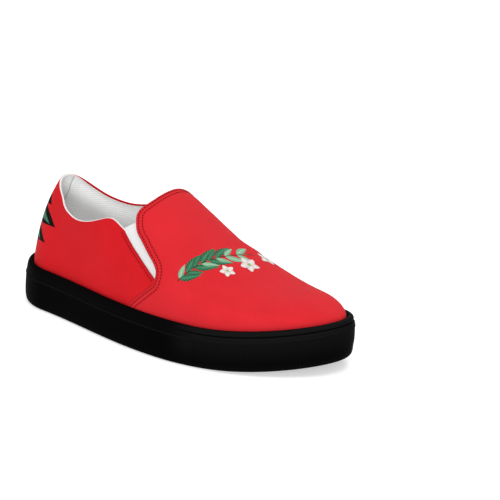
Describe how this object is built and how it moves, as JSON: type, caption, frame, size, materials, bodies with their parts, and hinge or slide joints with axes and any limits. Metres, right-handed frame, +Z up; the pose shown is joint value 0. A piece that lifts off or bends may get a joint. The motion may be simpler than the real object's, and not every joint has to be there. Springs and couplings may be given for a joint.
{
  "type": "slip-on shoe",
  "caption": "Low canvas slip-on shoe with two elastic side gores, a flat textile footbed and a thick black rubber cup sole, right foot.",
  "frame": {"origin": "on the floor, under the middle of the shoe's length and width", "axes": "+X from heel to toe, -Y to the outer side of the right foot, +Z up from the floor"},
  "size_m": [0.2935, 0.1109, 0.1064],
  "materials": {
    "sole_rubber": "black moulded rubber, satin, finely patterned at the toe",
    "insole_textile": "pale grey-white woven textile over foam",
    "canvas": "matte red canvas, fine plain weave",
    "elastic": "white ribbed elastic webbing"
  },
  "bodies": {
    "root": {"outsole": "sole_rubber", "insole": "insole_textile", "upper": "canvas", "gore_outer": "elastic", "gore_inner": "elastic"}
  },
  "joints": []
}
